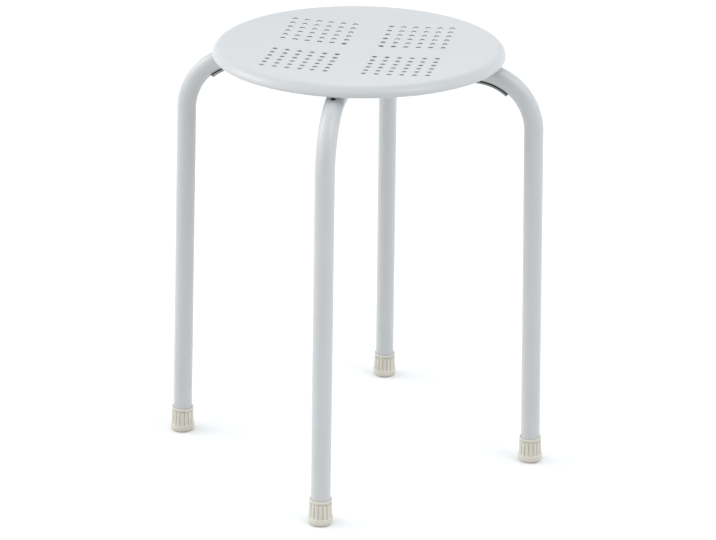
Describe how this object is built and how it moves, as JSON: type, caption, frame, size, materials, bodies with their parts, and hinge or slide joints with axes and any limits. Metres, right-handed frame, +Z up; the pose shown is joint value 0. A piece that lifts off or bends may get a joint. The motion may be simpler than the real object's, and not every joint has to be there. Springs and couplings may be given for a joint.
{
  "type": "stacking stool",
  "caption": "Backless stacking stool with a dished, perforated round steel seat on bent tube legs with ribbed foot caps.",
  "frame": {"origin": "on the floor under the middle of the seat", "axes": "+Z up, front leg on -Y, right leg on +X, back leg on +Y, left leg on -X"},
  "size_m": [0.4084, 0.4084, 0.45],
  "materials": {
    "powder_coat": "satin powder coat",
    "grey_plastic": "matte moulded",
    "black_foam": "matte closed-cell foam",
    "ivory_plastic": "semi-matte moulded",
    "zinc_steel": "zinc plated",
    "natural_nylon": "natural moulded"
  },
  "bodies": {
    "root": {"seat_pan": "powder_coat", "centre_plate": "powder_coat", "leg_front": "powder_coat", "leg_right": "powder_coat", "leg_back": "powder_coat", "leg_left": "powder_coat", "stacking_pad_front": "grey_plastic", "stacking_pad_right": "grey_plastic", "stacking_pad_back": "grey_plastic", "stacking_pad_left": "grey_plastic", "pad_liner_front": "black_foam", "pad_liner_right": "black_foam", "pad_liner_back": "black_foam", "pad_liner_left": "black_foam", "foot_cap_front": "ivory_plastic", "foot_cap_right": "ivory_plastic", "foot_cap_back": "ivory_plastic", "foot_cap_left": "ivory_plastic", "foot_disc_front": "zinc_steel", "foot_disc_right": "zinc_steel", "foot_disc_back": "zinc_steel", "foot_disc_left": "zinc_steel", "seat_studs": "zinc_steel", "stud_nuts": "zinc_steel", "spacer_rings": "natural_nylon", "saddle_washers": "natural_nylon"}
  },
  "joints": []
}
